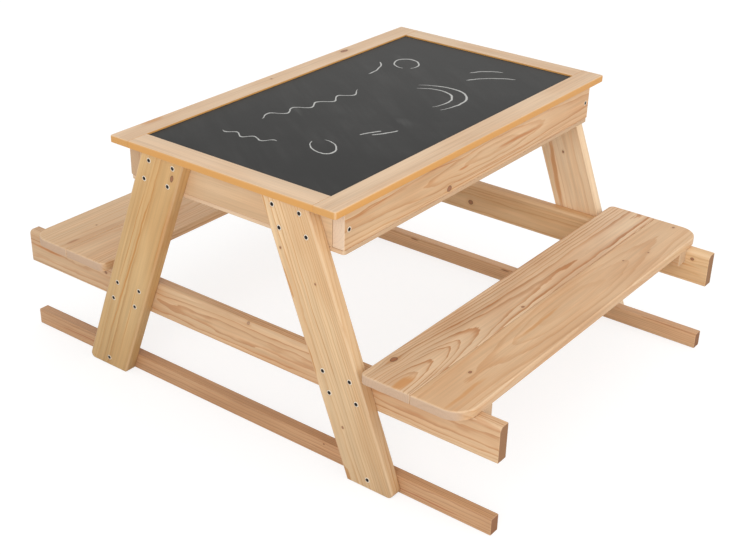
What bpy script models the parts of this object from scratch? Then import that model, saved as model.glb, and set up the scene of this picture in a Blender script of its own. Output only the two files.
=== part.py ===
"""Kids picnic table of pine boards, with a lift-off chalkboard lid over a tray.

Two end frames of splayed legs carry the tray, two benches and two ground rails.
X runs from bench to bench, Y along the table and Z up. The origin is on the
floor under the middle of the table. "Near" is the -Y end and "left" is -X.
All sizes are in metres.
"""

import math

import bmesh
import bpy
from mathutils import Vector

# Clearance between pieces that rest on or beside each other
GAP = 0.0003

# Lid: a frame of four rails round a recessed chalkboard panel
TABLE_HEIGHT = 0.500
LID_LENGTH = 0.862
LID_WIDTH = 0.504
LID_THICKNESS = 0.0135
LID_RAIL_WIDTH = 0.045
LID_LIP_THICKNESS = 0.003
LID_REBATE = 0.006
PANEL_THICKNESS = 0.004
LID_BATTEN_WIDTH = 0.028
LID_BATTEN_HEIGHT = 0.018
LID_BATTEN_SETBACK = 0.060
LID_PLAY = 0.004

# Tray under the lid: four apron boards on a thin floor
SIDE_OVERHANG = 0.0092
END_OVERHANG = 0.0105
APRON_THICKNESS = 0.0245
APRON_HEIGHT = 0.069
TRAY_FLOOR_THICKNESS = 0.0075
TRAY_FLOOR_CORNER = 0.006

# Legs: planks cut level at both ends, one on each side of an end frame
LEG_WIDTH = 0.0955
LEG_THICKNESS = 0.0245
LEG_TOP_INSET = 0.1082
LEG_SPLAY = 0.1895
LEG_TOE_RADIUS = 0.010
LEG_EDGE_RADIUS = 0.004

# Beams and ground rails that run across the table behind the legs
BEAM_OVERHANG = 0.0485
BEAM_HEIGHT = 0.067
BEAM_THICKNESS = 0.0235
BEAM_EDGE_RADIUS = 0.008
GROUND_RAIL_SETBACK = 0.0025
GROUND_RAIL_HEIGHT = 0.0325
GROUND_RAIL_THICKNESS = 0.0215

# Benches: two boards each, on a batten beside each beam
SEAT_HEIGHT = 0.229
SEAT_THICKNESS = 0.0175
SEAT_LENGTH = 0.861
SEAT_REACH = 0.0515
SEAT_BOARD_WIDTH = 0.10075
SEAT_SEAM = 0.0005
SEAT_OUTER_RADIUS = 0.040
SEAT_INNER_RADIUS = 0.012
SEAT_EDGE_RADIUS = 0.003
SEAT_BATTEN_WIDTH = 0.030
SEAT_BATTEN_HEIGHT = 0.026
SEAT_BATTEN_SETBACK = 0.0005

# Countersunk screws through the legs
SCREW_LENGTH = 0.042
SCREW_DIAMETER = 0.0045
SCREW_HEAD_DIAMETER = 0.0085
SCREW_HEAD_HEIGHT = 0.0032
SCREW_SINK = 0.0006
SCREW_SLOT_LENGTH = 0.0050
SCREW_SLOT_WIDTH = 0.0013
SCREW_SLOT_DEPTH = 0.0018
SCREW_COLUMN_SPACING = 0.057
SCREW_ROW_SPACING = 0.0375
SCREW_SIDES = 10

# Rounding of the remaining edges
BOARD_EASE = 0.0015
JOINT_EASE = 0.0004
LID_EDGE_RADIUS = 0.0022
BEVEL_SEGMENTS = 2
ARC_SEGMENTS = 6

# Levels and planes that follow from the sizes above
LID_UNDERSIDE = TABLE_HEIGHT - LID_THICKNESS
FRAME_TOP = LID_UNDERSIDE - GAP
PANEL_TOP = TABLE_HEIGHT - LID_LIP_THICKNESS - GAP
PANEL_UNDERSIDE = PANEL_TOP - PANEL_THICKNESS
APRON_CENTRE = FRAME_TOP - APRON_HEIGHT / 2
TRAY_FLOOR_TOP = FRAME_TOP - APRON_HEIGHT - GAP
SEAT_UNDERSIDE = SEAT_HEIGHT - SEAT_THICKNESS
BEAM_TOP = SEAT_UNDERSIDE - GAP
BEAM_CENTRE = BEAM_TOP - BEAM_HEIGHT / 2

LEG_OUTER_Y = LID_LENGTH / 2 - END_OVERHANG
LEG_CENTRE_Y = LEG_OUTER_Y - LEG_THICKNESS / 2
FRAME_END_Y = LEG_OUTER_Y - LEG_THICKNESS - GAP
APRON_OUTER_X = LID_WIDTH / 2 - SIDE_OVERHANG
APRON_INNER_X = APRON_OUTER_X - APRON_THICKNESS
APRON_INNER_Y = FRAME_END_Y - APRON_THICKNESS

LEG_TOP_OFFSET = APRON_OUTER_X - LEG_TOP_INSET
LEG_FOOT_OFFSET = LEG_TOP_OFFSET + LEG_SPLAY

PANEL_HALF_X = LID_WIDTH / 2 - LID_RAIL_WIDTH + LID_REBATE
PANEL_HALF_Y = LID_LENGTH / 2 - LID_RAIL_WIDTH + LID_REBATE
SEAT_INNER_EDGE = LID_WIDTH / 2 + SEAT_REACH
SEAT_SEAM_X = SEAT_INNER_EDGE + SEAT_BOARD_WIDTH
SEAT_OUTER_EDGE = SEAT_SEAM_X + SEAT_SEAM + SEAT_BOARD_WIDTH
BEAM_HALF_LENGTH = SEAT_OUTER_EDGE + BEAM_OVERHANG
GROUND_RAIL_HALF_LENGTH = BEAM_HALF_LENGTH - GROUND_RAIL_SETBACK

ENDS = (("near", -1), ("far", 1))
SIDES = (("left", -1), ("right", 1))

PINE = (0.72, 0.52, 0.32, 1.0)
PINE_PALE = (0.78, 0.60, 0.41, 1.0)
PINE_WARM = (0.66, 0.44, 0.24, 1.0)
CHALKBOARD_GREY = (0.060, 0.058, 0.058, 1.0)
STEEL_DARK = (0.10, 0.095, 0.09, 1.0)


def clear_scene():
    """Remove every object of the open file."""
    for old in list(bpy.data.objects):
        bpy.data.objects.remove(old, do_unlink=True)


def new_collection(name, parent=None):
    """Return a new collection, under another one or directly in the scene."""
    collection = bpy.data.collections.new(name)
    (parent or bpy.context.scene.collection).children.link(collection)
    return collection


def new_material(name, colour, roughness, metallic=0.0):
    """Return a Principled material of one colour."""
    material = bpy.data.materials.new(name)
    material.use_nodes = True
    shader = material.node_tree.nodes["Principled BSDF"]
    shader.inputs["Base Color"].default_value = colour
    shader.inputs["Roughness"].default_value = roughness
    shader.inputs["Metallic"].default_value = metallic
    return material


def new_object(name, mesh, collection, location=(0, 0, 0), rotation=(0, 0, 0)):
    """Return a mesh object placed in a collection."""
    item = bpy.data.objects.new(name, mesh)
    item.location = location
    item.rotation_euler = rotation
    collection.objects.link(item)
    return item


def evaluated_mesh(item, name):
    """Return a mesh with the item's modifiers or curve made real."""
    bpy.context.view_layer.update()
    depsgraph = bpy.context.evaluated_depsgraph_get()
    mesh = bpy.data.meshes.new_from_object(item.evaluated_get(depsgraph))
    mesh.name = name
    return mesh


def box_mesh(name, size):
    """Return a box centred on the origin."""
    mesh = bpy.data.meshes.new(name)
    shape = bmesh.new()
    bmesh.ops.create_cube(shape, size=1.0)
    bmesh.ops.scale(shape, vec=size, verts=shape.verts)
    shape.to_mesh(mesh)
    shape.free()
    return mesh


def rounded_outline(corners):
    """Return outline points for corners given as (x, y, radius)."""
    points = []
    for index, (x, y, radius) in enumerate(corners):
        corner = Vector((x, y))
        if radius == 0:
            points.append(corner)
            continue
        before = (Vector(corners[index - 1][:2]) - corner).normalized()
        after = (Vector(corners[(index + 1) % len(corners)][:2]) - corner).normalized()
        half_angle = before.angle(after) / 2
        reach = radius / math.tan(half_angle)
        centre = corner + (before + after).normalized() * radius / math.sin(half_angle)
        start = corner + before * reach - centre
        end = corner + after * reach - centre
        anticlockwise = start.x * end.y > start.y * end.x
        sweep = math.pi - 2 * half_angle
        if not anticlockwise:
            sweep = -sweep
        for step in range(ARC_SEGMENTS + 1):
            turn = sweep * step / ARC_SEGMENTS
            points.append(centre + Vector((
                start.x * math.cos(turn) - start.y * math.sin(turn),
                start.x * math.sin(turn) + start.y * math.cos(turn))))
    return points


def outline_mesh(name, points, thickness):
    """Return a flat outline in XY, thickened evenly along Z, as a closed mesh."""
    curve = bpy.data.curves.new(name, "CURVE")
    curve.dimensions = "2D"
    curve.fill_mode = "BOTH"
    curve.extrude = thickness / 2
    spline = curve.splines.new("POLY")
    spline.points.add(len(points) - 1)
    for target, point in zip(spline.points, points):
        target.co = (point.x, point.y, 0, 1)
    spline.use_cyclic_u = True
    drawn = new_object(name, curve, bpy.context.scene.collection)
    mesh = evaluated_mesh(drawn, name)
    bpy.data.objects.remove(drawn, do_unlink=True)
    shape = bmesh.new()
    shape.from_mesh(mesh)
    bmesh.ops.remove_doubles(shape, verts=shape.verts, dist=GAP / 10)
    bmesh.ops.dissolve_limit(
        shape, angle_limit=math.radians(1), verts=shape.verts, edges=shape.edges)
    bmesh.ops.recalc_face_normals(shape, faces=shape.faces)
    shape.to_mesh(mesh)
    shape.free()
    return mesh


def round_edges(item, radius, wide_radius=None, is_wide=None):
    """Round an item's sharp edges, with a wider radius where is_wide says so."""
    widest = wide_radius or radius
    shape = bmesh.new()
    shape.from_mesh(item.data)
    weight = shape.edges.layers.float.new("bevel_weight_edge")
    sharp = math.radians(40)
    for edge in shape.edges:
        if edge.calc_face_angle() < sharp:
            continue
        wide = is_wide is not None and is_wide(edge)
        edge[weight] = 1.0 if wide else radius / widest
    shape.to_mesh(item.data)
    shape.free()
    bevel = item.modifiers.new("rounded edges", "BEVEL")
    bevel.width = widest
    bevel.segments = BEVEL_SEGMENTS
    bevel.limit_method = "WEIGHT"


def cut(item, cutters):
    """Cut a collection of cutters out of an item."""
    boolean = item.modifiers.new("cut " + cutters.name, "BOOLEAN")
    boolean.operation = "DIFFERENCE"
    boolean.solver = "EXACT"
    boolean.operand_type = "COLLECTION"
    boolean.collection = cutters


def mark_cutter(item):
    """Show an item as a wire guide only."""
    item.hide_render = True
    item.display_type = "WIRE"


def edge_middle(edge):
    """Return the middle of an edge."""
    return (edge.verts[0].co + edge.verts[1].co) / 2


def turned_mesh(name, profile):
    """Return a closed turned shape from (radius, height) points, top to bottom."""
    mesh = bpy.data.meshes.new(name)
    mesh.from_pydata(
        [(radius, 0, height) for radius, height in profile],
        [(step, step + 1) for step in range(len(profile) - 1)], [])
    drawn = new_object(name, mesh, bpy.context.scene.collection)
    turn = drawn.modifiers.new("turn", "SCREW")
    turn.steps = SCREW_SIDES
    turn.render_steps = SCREW_SIDES
    turn.use_merge_vertices = True
    turn.merge_threshold = GAP / 10
    turned = evaluated_mesh(drawn, name)
    bpy.data.objects.remove(drawn, do_unlink=True)
    return turned


def screw_profile(clearance, overshoot):
    """Return a countersunk screw's profile, head up, its face at height zero."""
    head = SCREW_HEAD_DIAMETER / 2 + clearance
    shank = SCREW_DIAMETER / 2 + clearance
    return (
        (0, overshoot),
        (head, overshoot),
        (head, -clearance),
        (shank, -SCREW_HEAD_HEIGHT - clearance),
        (shank, -SCREW_LENGTH - clearance),
        (0, -SCREW_LENGTH - clearance),
    )


def screw_mesh(cutters):
    """Return a screw with a cross slot in its head."""
    blank = new_object(
        "screw_blank", turned_mesh("screw_blank", screw_profile(0, GAP)), cutters)
    slots = new_collection("screw_slots", cutters)
    slot = box_mesh("screw_slot", (SCREW_SLOT_LENGTH, SCREW_SLOT_WIDTH, 2 * SCREW_SLOT_DEPTH))
    for turn in (0, math.pi / 2):
        mark_cutter(new_object("screw_slot", slot, slots, rotation=(0, 0, turn)))
    cut(blank, slots)
    mesh = evaluated_mesh(blank, "screw")
    bpy.data.objects.remove(blank, do_unlink=True)
    return mesh


def build_lid(parts, cutters, wood, board):
    """Build the lid's rails, chalkboard panel and battens under one empty."""
    mover = bpy.data.objects.new("lid_lift", None)
    mover.location = (0, 0, LID_UNDERSIDE)
    parts.objects.link(mover)

    pockets = new_collection("panel_pocket", cutters)
    mark_cutter(new_object(
        "panel_pocket",
        box_mesh("panel_pocket", (
            2 * (PANEL_HALF_X + GAP), 2 * (PANEL_HALF_Y + GAP), LID_THICKNESS)),
        pockets,
        (0, 0, PANEL_TOP + GAP - LID_THICKNESS / 2)))

    pieces = []
    rail_level = (TABLE_HEIGHT + LID_UNDERSIDE) / 2
    for side, sign in SIDES:
        rail = new_object(
            "lid_side_rail_" + side,
            box_mesh("lid_side_rail", (LID_RAIL_WIDTH, LID_LENGTH, LID_THICKNESS)),
            parts,
            (sign * (LID_WIDTH - LID_RAIL_WIDTH) / 2, 0, rail_level))
        outer = sign * LID_RAIL_WIDTH / 2
        ends = LID_LENGTH / 2
        round_edges(rail, JOINT_EASE, LID_EDGE_RADIUS, lambda edge: (
            math.isclose(edge_middle(edge).x, outer, abs_tol=GAP)
            or math.isclose(abs(edge_middle(edge).y), ends, abs_tol=GAP)))
        cut(rail, pockets)
        pieces.append(rail)
    end_rail_length = LID_WIDTH - 2 * LID_RAIL_WIDTH - 2 * GAP
    for end, sign in ENDS:
        rail = new_object(
            "lid_end_rail_" + end,
            box_mesh("lid_end_rail", (end_rail_length, LID_RAIL_WIDTH, LID_THICKNESS)),
            parts,
            (0, sign * (LID_LENGTH - LID_RAIL_WIDTH) / 2, rail_level))
        outer = sign * LID_RAIL_WIDTH / 2
        round_edges(rail, JOINT_EASE, LID_EDGE_RADIUS, lambda edge: (
            math.isclose(edge_middle(edge).y, outer, abs_tol=GAP)
            and math.isclose(edge_middle(edge).x, 0, abs_tol=GAP)))
        cut(rail, pockets)
        pieces.append(rail)

    panel = new_object(
        "chalkboard",
        box_mesh("chalkboard", (2 * PANEL_HALF_X, 2 * PANEL_HALF_Y, PANEL_THICKNESS)),
        parts,
        (0, 0, PANEL_TOP - PANEL_THICKNESS / 2))
    panel.data.materials.append(board)
    batten_half = min(APRON_INNER_X, PANEL_HALF_X) - LID_PLAY
    batten_y = APRON_INNER_Y - LID_BATTEN_SETBACK - LID_BATTEN_WIDTH / 2
    for end, sign in ENDS:
        batten = new_object(
            "lid_batten_" + end,
            box_mesh("lid_batten", (2 * batten_half, LID_BATTEN_WIDTH, LID_BATTEN_HEIGHT)),
            parts,
            (0, sign * batten_y, PANEL_UNDERSIDE - GAP - LID_BATTEN_HEIGHT / 2))
        round_edges(batten, BOARD_EASE)
        pieces.append(batten)
    for piece in pieces:
        piece.data.materials.append(wood)
    for piece in pieces + [panel]:
        piece.parent = mover
        piece.location.z -= LID_UNDERSIDE


def build_tray(parts, wood, screw_holes):
    """Build the four aprons and the thin floor of the tray."""
    for side, sign in SIDES:
        apron = new_object(
            "tray_side_" + side,
            box_mesh("tray_side", (APRON_THICKNESS, 2 * FRAME_END_Y, APRON_HEIGHT)),
            parts,
            (sign * (APRON_OUTER_X + APRON_INNER_X) / 2, 0, APRON_CENTRE))
        round_edges(apron, BOARD_EASE)
        apron.data.materials.append(wood)
    for end, sign in ENDS:
        apron = new_object(
            "tray_end_" + end,
            box_mesh("tray_end", (
                2 * (APRON_INNER_X - GAP), APRON_THICKNESS, APRON_HEIGHT)),
            parts,
            (0, sign * (FRAME_END_Y + APRON_INNER_Y) / 2, APRON_CENTRE))
        round_edges(apron, JOINT_EASE)
        for side, _ in SIDES:
            cut(apron, screw_holes[end, side])
        apron.data.materials.append(wood)
    half_x = APRON_OUTER_X
    half_y = FRAME_END_Y
    corners = [
        (half_x, -half_y, TRAY_FLOOR_CORNER), (half_x, half_y, TRAY_FLOOR_CORNER),
        (-half_x, half_y, TRAY_FLOOR_CORNER), (-half_x, -half_y, TRAY_FLOOR_CORNER)]
    floor = new_object(
        "tray_floor",
        outline_mesh("tray_floor", rounded_outline(corners), TRAY_FLOOR_THICKNESS),
        parts,
        (0, 0, TRAY_FLOOR_TOP - TRAY_FLOOR_THICKNESS / 2))
    floor.data.materials.append(wood)


def leg_slope():
    """Return the sideways shift of a leg's centre line for each metre down."""
    return LEG_SPLAY / FRAME_TOP


def leg_centre(height):
    """Return the distance of a leg's centre line from the middle at a height."""
    return LEG_TOP_OFFSET + leg_slope() * (FRAME_TOP - height)


def build_legs(parts, wood, screw_holes):
    """Build the four splayed legs, cut level at the floor and under the lid."""
    level_half = LEG_WIDTH / 2 * math.hypot(1, leg_slope())
    for end, end_sign in ENDS:
        for side, side_sign in SIDES:
            top = LEG_TOP_OFFSET
            foot = LEG_FOOT_OFFSET
            corners = [
                (side_sign * (foot - level_half), 0, 0),
                (side_sign * (foot + level_half), 0, LEG_TOE_RADIUS),
                (side_sign * (top + level_half), FRAME_TOP, 0),
                (side_sign * (top - level_half), FRAME_TOP, 0)]
            leg = new_object(
                "leg_%s_%s" % (end, side),
                outline_mesh("leg", rounded_outline(corners), LEG_THICKNESS),
                parts,
                (0, end_sign * LEG_CENTRE_Y, 0),
                (math.pi / 2, 0, 0))
            outer_face = -end_sign * LEG_THICKNESS / 2

            def is_long_outer(edge, outer_face=outer_face):
                on_face = math.isclose(edge_middle(edge).z, outer_face, abs_tol=GAP)
                rise = abs(edge.verts[0].co.y - edge.verts[1].co.y)
                return on_face and rise > GAP

            round_edges(leg, BOARD_EASE, LEG_EDGE_RADIUS, is_long_outer)
            cut(leg, screw_holes[end, side])
            leg.data.materials.append(wood)


def build_cross_rails(parts, wood, screw_holes):
    """Build the seat beams and the ground rails, one of each at both ends."""
    for end, sign in ENDS:
        beam = new_object(
            "seat_beam_" + end,
            box_mesh("seat_beam", (2 * BEAM_HALF_LENGTH, BEAM_THICKNESS, BEAM_HEIGHT)),
            parts,
            (0, sign * (FRAME_END_Y - BEAM_THICKNESS / 2), BEAM_CENTRE))

        def is_near_top(edge):
            middle = edge_middle(edge)
            return (math.isclose(middle.y, -BEAM_THICKNESS / 2, abs_tol=GAP)
                    and math.isclose(middle.z, BEAM_HEIGHT / 2, abs_tol=GAP))

        round_edges(beam, BOARD_EASE, BEAM_EDGE_RADIUS, is_near_top)
        for side, _ in SIDES:
            cut(beam, screw_holes[end, side])
        beam.data.materials.append(wood)

        rail = new_object(
            "ground_rail_" + end,
            box_mesh("ground_rail", (
                2 * GROUND_RAIL_HALF_LENGTH, GROUND_RAIL_THICKNESS, GROUND_RAIL_HEIGHT)),
            parts,
            (0, sign * (FRAME_END_Y - GROUND_RAIL_THICKNESS / 2), GROUND_RAIL_HEIGHT / 2))
        round_edges(rail, BOARD_EASE)
        rail.data.materials.append(wood)


def build_benches(parts, wood):
    """Build two seat boards a side and the battens that tie them to the beams."""
    half = SEAT_LENGTH / 2
    seam = SEAT_SEAM_X
    outer = SEAT_OUTER_EDGE
    inner = SEAT_INNER_EDGE
    level = SEAT_HEIGHT - SEAT_THICKNESS / 2
    inner_board = (
        (inner, -half, SEAT_INNER_RADIUS), (seam, -half, 0),
        (seam, half, 0), (inner, half, SEAT_INNER_RADIUS))
    outer_board = (
        (seam + SEAT_SEAM, -half, 0), (outer, -half, SEAT_OUTER_RADIUS),
        (outer, half, SEAT_OUTER_RADIUS), (seam + SEAT_SEAM, half, 0))
    batten_inner = inner + SEAT_BATTEN_SETBACK
    batten_outer = outer - SEAT_BATTEN_SETBACK
    for side, side_sign in SIDES:
        for name, corners in (("inner", inner_board), ("outer", outer_board)):
            mirrored = [(side_sign * x, y, radius) for x, y, radius in corners]
            plank = new_object(
                "seat_%s_board_%s" % (side, name),
                outline_mesh("seat_board", rounded_outline(mirrored), SEAT_THICKNESS),
                parts,
                (0, 0, level))
            round_edges(plank, BOARD_EASE, SEAT_EDGE_RADIUS,
                        lambda edge: edge_middle(edge).z > GAP)
            plank.data.materials.append(wood)
        for end, end_sign in ENDS:
            batten_y = FRAME_END_Y - BEAM_THICKNESS - GAP - SEAT_BATTEN_WIDTH / 2
            batten = new_object(
                "seat_batten_%s_%s" % (end, side),
                box_mesh("seat_batten", (
                    batten_outer - batten_inner, SEAT_BATTEN_WIDTH, SEAT_BATTEN_HEIGHT)),
                parts,
                (side_sign * (batten_inner + batten_outer) / 2, end_sign * batten_y,
                 BEAM_TOP - SEAT_BATTEN_HEIGHT / 2))
            round_edges(batten, BOARD_EASE)
            batten.data.materials.append(wood)


def screw_places(end_sign, side_sign):
    """Return the head centres of the screws through one leg, top rows first."""
    face_y = end_sign * (LEG_OUTER_Y - SCREW_SINK)
    places = []
    for level in (APRON_CENTRE, BEAM_CENTRE):
        for row in (1, -1):
            height = level + row * SCREW_ROW_SPACING / 2
            for column in (-1, 1):
                offset = leg_centre(height) + column * SCREW_COLUMN_SPACING / 2
                places.append(Vector((side_sign * offset, face_y, height)))
    return places


def build_screws(parts, cutters, steel):
    """Build the screws and return the collection of hole cutters for each leg."""
    mesh = screw_mesh(cutters)
    mesh.materials.append(steel)
    hole = turned_mesh("screw_hole", screw_profile(GAP, LEG_THICKNESS))
    screw_holes = {}
    for end, end_sign in ENDS:
        for side, side_sign in SIDES:
            holes = new_collection("screw_holes_%s_%s" % (end, side), cutters)
            turn = (-end_sign * math.pi / 2, 0, 0)
            for index, place in enumerate(screw_places(end_sign, side_sign)):
                new_object(
                    "screw_%s_%s_%d" % (end, side, index + 1), mesh, parts, place, turn)
                cutter = new_object("screw_hole", hole, holes, place, turn)
                mark_cutter(cutter)
            screw_holes[end, side] = holes
    return screw_holes


def main():
    """Build the whole table."""
    clear_scene()
    parts = new_collection("kids_picnic_table")
    cutters = new_collection("cutters")
    lid_wood = new_material("lid pine", PINE_PALE, 0.55)
    frame_wood = new_material("frame pine", PINE, 0.55)
    tray_wood = new_material("tray pine", PINE_WARM, 0.55)
    bench_wood = new_material("bench pine", PINE_PALE, 0.55)
    board = new_material("chalkboard paint", CHALKBOARD_GREY, 0.85)
    steel = new_material("dark steel", STEEL_DARK, 0.4, 0.9)

    screw_holes = build_screws(parts, cutters, steel)
    build_lid(parts, cutters, lid_wood, board)
    build_tray(parts, tray_wood, screw_holes)
    build_legs(parts, frame_wood, screw_holes)
    build_cross_rails(parts, frame_wood, screw_holes)
    build_benches(parts, bench_wood)


main()
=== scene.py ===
"""Looks of a kids picnic table: pine boards, a chalkboard lid and dark cross-head screws.

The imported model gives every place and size. Each board is built again as one smooth
surface with eased edges, at the place of its CAD node, and gets its own pine: growth
rings round a pith line, knots, fibres and end grain, all on Object coordinates.
X runs from bench to bench, Y along the table and Z up, in metres.
"""

import math

import bmesh
import bpy
import numpy as np
from mathutils import Matrix, Vector


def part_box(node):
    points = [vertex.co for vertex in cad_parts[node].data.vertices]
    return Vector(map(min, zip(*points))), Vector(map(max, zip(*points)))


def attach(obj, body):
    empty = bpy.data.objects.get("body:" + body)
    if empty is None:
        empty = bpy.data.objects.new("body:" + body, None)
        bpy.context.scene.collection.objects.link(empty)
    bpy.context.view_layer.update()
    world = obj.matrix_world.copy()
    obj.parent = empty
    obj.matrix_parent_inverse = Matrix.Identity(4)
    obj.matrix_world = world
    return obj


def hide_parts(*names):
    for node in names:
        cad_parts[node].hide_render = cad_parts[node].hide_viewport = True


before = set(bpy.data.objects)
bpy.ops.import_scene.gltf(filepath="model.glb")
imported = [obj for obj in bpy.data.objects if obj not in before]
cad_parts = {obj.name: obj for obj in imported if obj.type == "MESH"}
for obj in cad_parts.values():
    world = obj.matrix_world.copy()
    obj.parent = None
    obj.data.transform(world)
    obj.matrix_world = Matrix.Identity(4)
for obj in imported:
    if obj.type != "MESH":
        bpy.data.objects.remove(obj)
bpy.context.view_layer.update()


def corners_of(node_name):
    """Return a CAD node's lowest and highest corner as arrays."""
    low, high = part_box(node_name)
    return np.array(low), np.array(high)


X_AXIS = (1, 0, 0)
Y_AXIS = (0, 1, 0)
Z_AXIS = (0, 0, 1)
ENDS = (("near", -1), ("far", 1))
SIDES = (("left", -1), ("right", 1))

# Rounding of edges, as the real boards show it
EASE_STEPS = 5
ARC_STEPS = 8
HOLDING_LOOP = 0.0006
BOARD_EASE = 0.0015
JOINT_EASE = 0.0005
LID_EASE = 0.0024
LID_CORNER_RADIUS = 0.004
LEG_LONG_EASE = 0.004
LEG_CORNER_RADIUS = 0.0025
LEG_TOE_RADIUS = 0.010
BEAM_TOP_EASE = 0.008
SEAT_TOP_EASE = 0.003
SEAT_SEAM_EASE = 0.0012
SEAT_CORNER_RADIUS = 0.002
SEAT_OUTER_RADIUS = 0.040
SEAT_INNER_RADIUS = 0.012
TRAY_SIDE_CORNER = 0.0018
TRAY_FLOOR_CORNER = 0.006
TRAY_FLOOR_EASE = 0.0008
SMALLEST_CORNER = 0.0002
# Pale eased edges and small corners: partly rubbed wood, partly a painted highlight on the
# rounding
WEAR_AND_HIGHLIGHT_CORNER_LIMIT = 0.009
WEAR_AND_HIGHLIGHT_FROM = 0.6
MERGE_REACH = 1e-7
SHARP_ANGLE = math.radians(35)
POCKET_DEPTH = 0.02
POCKET_GAP = 0.0003

# Shape of the splayed legs: sideways run from the top to the floor
LEG_SPLAY = 0.1895
LEG_RISE = corners_of("leg_near_right")[1][2]

# How far the round toe keeps a leg's box from its sharp foot corner
TOE_ANGLE = math.atan2(LEG_RISE, LEG_SPLAY)
TOE_REACH = LEG_TOE_RADIUS / math.tan(TOE_ANGLE / 2) - LEG_TOE_RADIUS

# Screw holes: a cone under a short lip, as (radius, height) points of the cutter
HOLE_RADIUS = 0.0053
HOLE_LIP = 0.0002
HOLE_STEPS = 20
HOLE_PROFILE = (
    (HOLE_RADIUS * 0.45, -0.0042), (HOLE_RADIUS * 0.97, -0.0012), (HOLE_RADIUS, -HOLE_LIP),
    (HOLE_RADIUS + HOLE_LIP, HOLE_LIP), (HOLE_RADIUS + HOLE_LIP, 0.004))
CAD_LEG_SCREWS = 8
GROUND_SCREW_LEVEL = 0.52
TRAY_SCREW_INSET = 0.0125

# Screw heads: rings in head radii, how far each lies below the face, and the cross recess
HEAD_RADIUS = 0.0050
HEAD_SINK = 0.0002
HEAD_SPOKES = 48
HEAD_RINGS = np.array([
    0.06, 0.14, 0.22, 0.32, 0.42, 0.52, 0.62, 0.72, 0.78, 0.84, 0.91, 0.96, 1.0, 0.98, 0.55])
HEAD_FALL = np.array([0, 0, 0, 0, 0, 0, 0, 0, 2, 6, 14, 26, 50, 90, 300]) * 1e-5
HEAD_TURN_STEP = 1.9
HEAD_TURN_BY_PLACE = 40
# Where the painted highlight on the head's rim starts, and over how much of the radius it grows
RIM_HIGHLIGHT_FROM = 0.66
RIM_HIGHLIGHT_FADE = 0.1
CROSS_HALF_WIDTH = 0.00062
CROSS_HALF_LENGTH = 0.0026
CROSS_WALL = 0.0002
CROSS_END_WALL = 0.0003
CROSS_DEPTH = 0.0016
CROSS_TAPER = 0.0028
CROSS_MIDDLE_SHARE = 1.25
CROSS_END_SHARE = 0.25

# Photograph's camera
CAMERA_PLACE = (1.3686, -1.8367, 1.3286)
CAMERA_YAW = -0.6380
CAMERA_PITCH = 0.5055
CAMERA_ROLL = 0.0257
CAMERA_LENS = 61.53
CAMERA_SENSOR = 36.0
CAMERA_SHIFT = (0.0042, 0.04)

# Studio: each lamp's name, place, width and power, and how strong the rest is
LAMPS = (
    ("key", (1.5, -3.4, 1.8), 2.4, 46.0),
    ("side", (3.2, 0.4, 1.7), 2.4, 26.0),
    ("top", (-0.4, 0.6, 3.4), 2.6, 8.0))
LAMP_AIM = (0, 0, 0.25)
WORLD_LIGHT = 0.74
FLOOR_HALF = 30.0
FLOOR_LEVEL = -0.0004
FLOOR_BOUNCE = (0.8, 0.8, 0.8, 1)
FLOOR_SEEN = (0.3, 0.3, 0.3, 1)
FLOOR_GLOW = 0.76
FLOOR_ROUGH = 0.9
WHITE = (1.0, 1.0, 1.0, 1.0)

# Colours as screen values of 0 to 255
PLAIN_END = (206, 172, 136)
RESIN_VEIN = (190, 122, 62)
RESIN_DUCT = (140, 92, 52)
KNOT_HALO = (196, 142, 88)
KNOT_CORE = (150, 94, 62)
KNOT_RIM = (92, 56, 36)
# Pale edge colour: partly rubbed wood, partly a painted highlight on eased edges
WORN_WOOD_AND_HIGHLIGHT = (236, 208, 172)
SCREW_DARK = (38, 30, 25)
SCREW_WARM = (58, 46, 38)
# Near black recess colour of the screws: painted shade
SCREW_RECESS_SHADE = (20, 15, 12)
# Near white rim colour of the screws: a painted highlight
SCREW_RIM_HIGHLIGHT = (240, 228, 208)
BOARD_PAINT = (31, 30, 28)
CHALK_DUST_AND_SHEEN = (124, 123, 121)
CHALK_WHITE = (222, 222, 218)

# Ramps of the pine: (from, to) and, where it isn't 0 to 1, (new from, new to)
KNOT_CORE_EDGE = (1.0, 0.86)
KNOT_RIM_INSIDE = (0.72, 0.98)
KNOT_RIM_OUTSIDE = (1.22, 1.02)
KNOT_HALO_EDGE = (3.2, 0.8)
KNOT_RING_SHADE = (-1.0, 1.0, 0.72, 1.0, "LINEAR")
STREAK_EDGE = (1.15, 0.45)
LATE_RISE = (0.52, 0.92)
LATE_END = (1.0, 0.955)
SLOPE_RISE = (0.0, 0.9, 0.0, 0.34, "LINEAR")
SLOPE_END = (1.0, 0.94)
RING_STRENGTH = (0.0, 1.0, 0.45, 1.0, "LINEAR")
PATCH_STRENGTH = (0.3, 0.6, 0.55, 1.0)
DUCT_EDGE = (0.68, 0.78)
DUCT_IN_LATE = (0.0, 0.4, 0.35, 1.0)
CLOUD_EDGE = (0.35, 0.7)
TONE_SPREAD = (0.25, 0.75, -0.07, 0.07, "LINEAR")
SHADED_SIDE_FACING = (0.35, 0.9)
END_FACING = (0.5, 0.9)
PORE_SHADE = (0.4, 0.7, 0.0, 0.2)
WEAR_AND_HIGHLIGHT_SHARE = (0.2, 0.8, 0.15, 0.5)
ROUGH_SPREAD = (0.2, 0.8, -0.05, 0.07, "LINEAR")

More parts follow.
